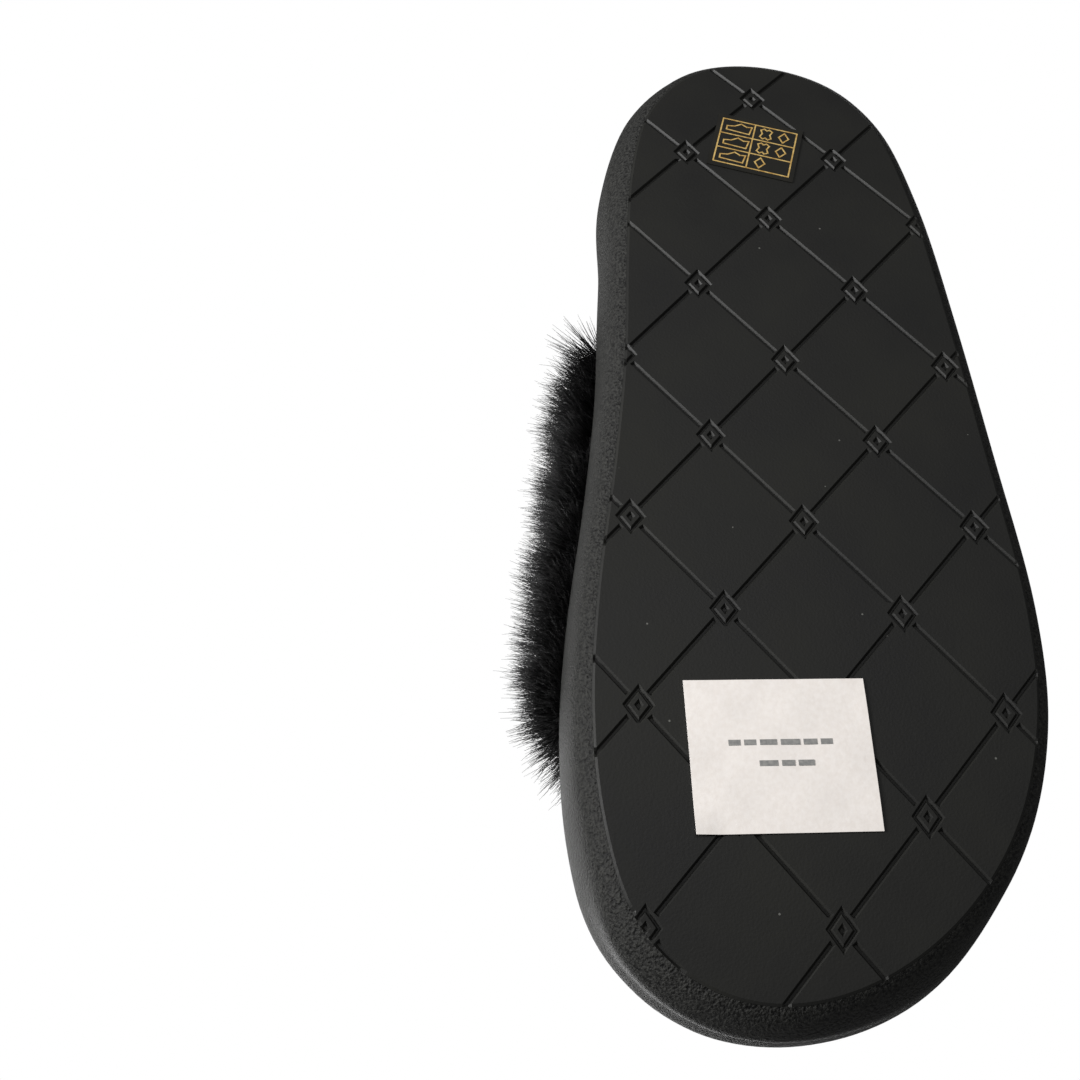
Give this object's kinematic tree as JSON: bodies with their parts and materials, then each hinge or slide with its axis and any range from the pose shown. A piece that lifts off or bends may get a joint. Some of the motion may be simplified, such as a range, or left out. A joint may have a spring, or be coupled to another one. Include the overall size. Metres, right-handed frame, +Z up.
{
  "type": "fluffy house slide slipper",
  "caption": "Open-toe, open-back house slide for a right foot: grained cup sole with a diamond-grooved tread, shaped footbed and a deep fluffy padded band over the instep.",
  "frame": {"origin": "on the ground under the middle of the slide's outline; the flat middle of the tread is at z = 0", "axes": "+Z up away from the ground, +Y towards the heel, -Y towards the toe, +X towards the big toe side"},
  "size_m": [0.1292, 0.2784, 0.1086],
  "materials": {
    "tread_rubber": "smooth matte moulded rubber",
    "grained_rubber": "fine pebble-grained moulded foam rubber",
    "sole_foam": "closed-cell foam",
    "filler_foam": "needled felt filler",
    "fibre_board": "pressed cellulose fibre board",
    "bed_foam": "soft moulded foam",
    "bed_cloth": "brushed microfibre",
    "lining_cloth": "brushed knit",
    "padding_foam": "upholstery foam",
    "web_cloth": "woven reinforcing cloth",
    "faux_fur": "long black pile",
    "binding_tape": "woven grosgrain tape",
    "thread": "bonded polyester thread",
    "label_paper": "uncoated paper",
    "sticker_film": "glossy film with gold print"
  },
  "bodies": {
    "root": {"tread_outsole": "tread_rubber", "cup_sole": "grained_rubber", "cushion_core": "sole_foam", "bottom_filler": "filler_foam", "insole_board": "fibre_board", "footbed_foam": "bed_foam", "footbed_cover": "bed_cloth", "band_lining": "lining_cloth", "band_padding": "padding_foam", "band_web": "web_cloth", "fur_shell": "faux_fur", "front_binding": "binding_tape", "rear_binding": "binding_tape", "front_stitching": "thread", "rear_stitching": "thread", "paper_label": "label_paper", "material_sticker": "sticker_film"}
  },
  "joints": []
}
